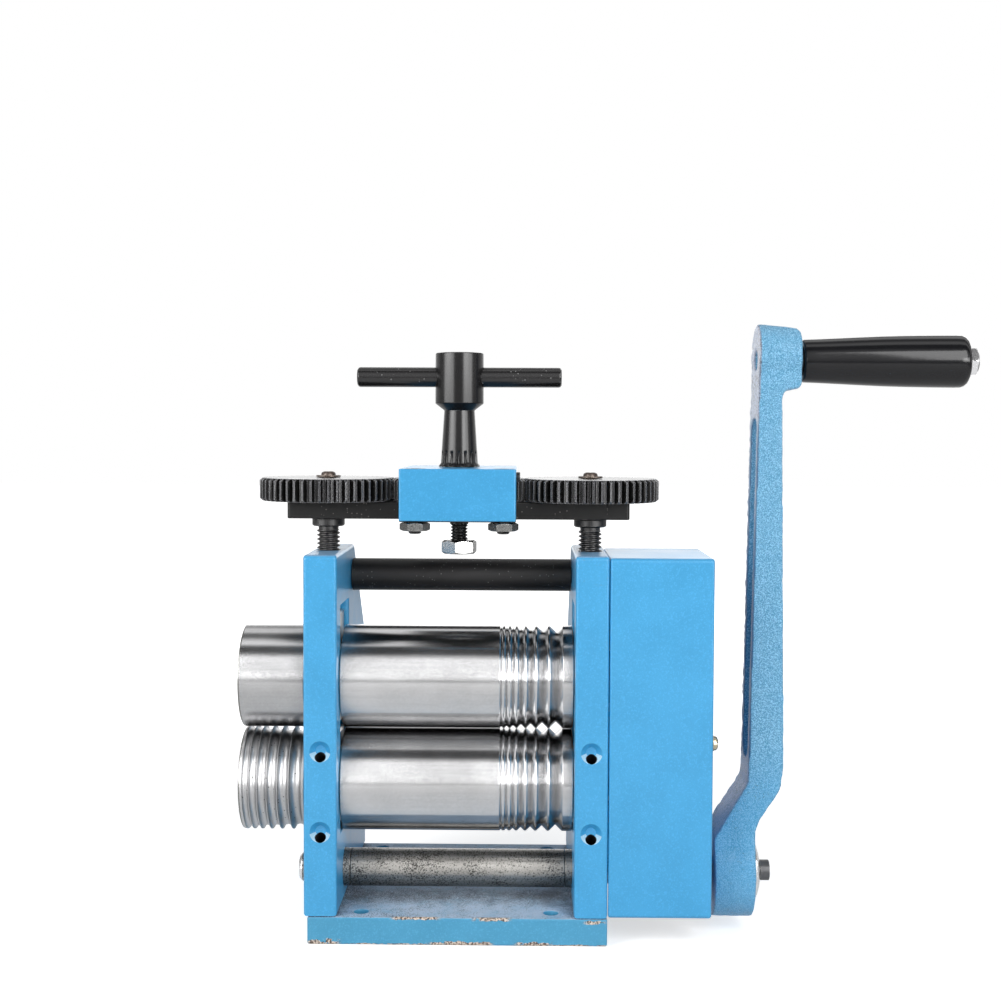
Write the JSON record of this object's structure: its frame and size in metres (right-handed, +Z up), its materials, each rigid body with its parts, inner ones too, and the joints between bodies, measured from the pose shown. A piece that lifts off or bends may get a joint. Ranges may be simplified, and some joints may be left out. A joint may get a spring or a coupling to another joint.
{
  "type": "jewellers rolling mill",
  "caption": "Hand-cranked jewellers rolling mill: grooved steel rolls in a blue frame, set by a T-handle through gears and screws, driven by a crank through a covered gear train.",
  "frame": {"origin": "on the underside of the base plate, straight below the roll axes and midway between the side frames", "axes": "+X along the rolls towards the crank, -Y towards the side the metal is fed in from, +Z up"},
  "size_m": [0.348, 0.1323, 0.2889],
  "materials": {
    "blue_paint": "semi-gloss blue paint, smooth",
    "blue_cast_paint": "semi-gloss blue paint over rough casting",
    "black_oxide": "black-oxide steel, satin",
    "roll_steel": "ground and polished roll steel",
    "plain_steel": "turned steel, lightly stained",
    "gear_steel": "machined gear steel, oiled",
    "zinc_steel": "zinc-plated steel",
    "chrome": "bright chrome plate",
    "bronze": "machined bronze",
    "yellow_zinc": "yellow zinc plate",
    "spring_steel": "spring wire",
    "grip_plastic": "glossy black plastic"
  },
  "bodies": {
    "frame": {"base_plate": "blue_paint", "side_frame_left": "blue_paint", "side_frame_right": "blue_paint", "tie_rod": "black_oxide", "tie_rod_screw_left": "black_oxide", "tie_rod_screw_right": "black_oxide", "frame_screw_left_front": "black_oxide", "frame_screw_left_rear": "black_oxide", "frame_screw_right_front": "black_oxide", "frame_screw_right_rear": "black_oxide", "gear_cover": "blue_paint", "cover_screw_front": "yellow_zinc", "cover_screw_rear": "yellow_zinc", "lower_bearing_block_left": "plain_steel", "lower_bearing_block_right": "plain_steel", "lower_bush_left": "bronze", "lower_bush_right": "bronze", "drive_bush_left": "plain_steel", "drive_bush_right": "plain_steel", "lift_spring_left": "spring_steel", "lift_spring_right": "spring_steel"},
    "upper_carriage": {"upper_bearing_block_left": "plain_steel", "upper_bearing_block_right": "plain_steel", "upper_bush_left": "bronze", "upper_bush_right": "bronze", "pressure_pad_left": "plain_steel", "pressure_pad_right": "plain_steel"},
    "upper_roll_shaft": {"upper_roll": "roll_steel", "upper_side_roll": "roll_steel", "upper_side_roll_screw": "black_oxide", "upper_roll_gear": "gear_steel"},
    "lower_roll_shaft": {"lower_roll": "roll_steel", "lower_side_roll": "roll_steel", "lower_side_roll_screw": "black_oxide", "lower_roll_gear": "gear_steel", "driven_gear": "gear_steel"},
    "drive": {"drive_shaft": "plain_steel", "drive_pinion": "gear_steel", "crank_arm": "blue_cast_paint", "crank_washer": "zinc_steel", "crank_bolt": "black_oxide", "handle_spindle": "plain_steel", "handle_cap_nut": "chrome"},
    "grip": {"handle_grip": "grip_plastic"},
    "top_bar": {"screw_bar": "black_oxide", "gear_bridge": "blue_paint", "bridge_bolt_left": "black_oxide", "bridge_bolt_right": "black_oxide", "bridge_nut_left": "zinc_steel", "bridge_nut_right": "zinc_steel"},
    "left_screw": {"pressure_screw_left": "black_oxide", "screw_gear_left": "black_oxide", "gear_screw_left": "yellow_zinc"},
    "right_screw": {"pressure_screw_right": "black_oxide", "screw_gear_right": "black_oxide", "gear_screw_right": "yellow_zinc"},
    "t_handle": {"t_spindle": "black_oxide", "t_bar": "black_oxide", "centre_gear": "black_oxide", "spindle_nut": "zinc_steel"}
  },
  "joints": [
    {"name": "lower_roll_spin", "type": "hinge", "parent": "frame", "child": "lower_roll_shaft", "pos_m": [0, 0, 0.0709], "axis": [1, 0, 0], "continuous": true},
    {"name": "drive_spin", "type": "hinge", "parent": "frame", "child": "drive", "pos_m": [0, 0, 0.0274], "axis": [1, 0, 0], "continuous": true},
    {"name": "upper_roll_spin", "type": "hinge", "parent": "upper_carriage", "child": "upper_roll_shaft", "pos_m": [0, 0, 0.1204], "axis": [1, 0, 0], "continuous": true},
    {"name": "grip_spin", "type": "hinge", "parent": "drive", "child": "grip", "pos_m": [0.2, 0, 0.2717], "axis": [1, 0, 0], "continuous": true},
    {"name": "t_handle_turn", "type": "hinge", "parent": "top_bar", "child": "t_handle", "pos_m": [0, 0, 0.2], "axis": [0, 0, 1], "range_deg": [-811, 73]},
    {"name": "left_screw_turn", "type": "hinge", "parent": "top_bar", "child": "left_screw", "pos_m": [-0.06255, 0, 0.2], "axis": [0, 0, 1], "range_deg": [-73, 811]},
    {"name": "right_screw_turn", "type": "hinge", "parent": "top_bar", "child": "right_screw", "pos_m": [0.06255, 0, 0.2], "axis": [0, 0, 1], "range_deg": [-73, 811]},
    {"name": "top_bar_slide", "type": "slide", "parent": "frame", "child": "top_bar", "axis": [0, 0, 1], "range_m": [-0.0004, 0.0045]},
    {"name": "upper_carriage_slide", "type": "slide", "parent": "frame", "child": "upper_carriage", "axis": [0, 0, 1], "range_m": [-0.00041, 0.00451], "deforming": ["lift_spring_left", "lift_spring_right"]}
  ],
  "couplings": [
    {"joint": "drive_spin", "follows": "lower_roll_spin", "ratio": -1.9},
    {"joint": "upper_roll_spin", "follows": "lower_roll_spin", "ratio": -1},
    {"joint": "t_handle_turn", "follows": "top_bar_slide", "rad_per_m": -3141.6},
    {"joint": "left_screw_turn", "follows": "top_bar_slide", "rad_per_m": 3141.6},
    {"joint": "right_screw_turn", "follows": "top_bar_slide", "rad_per_m": 3141.6},
    {"joint": "upper_carriage_slide", "follows": "top_bar_slide", "ratio": 1}
  ]
}
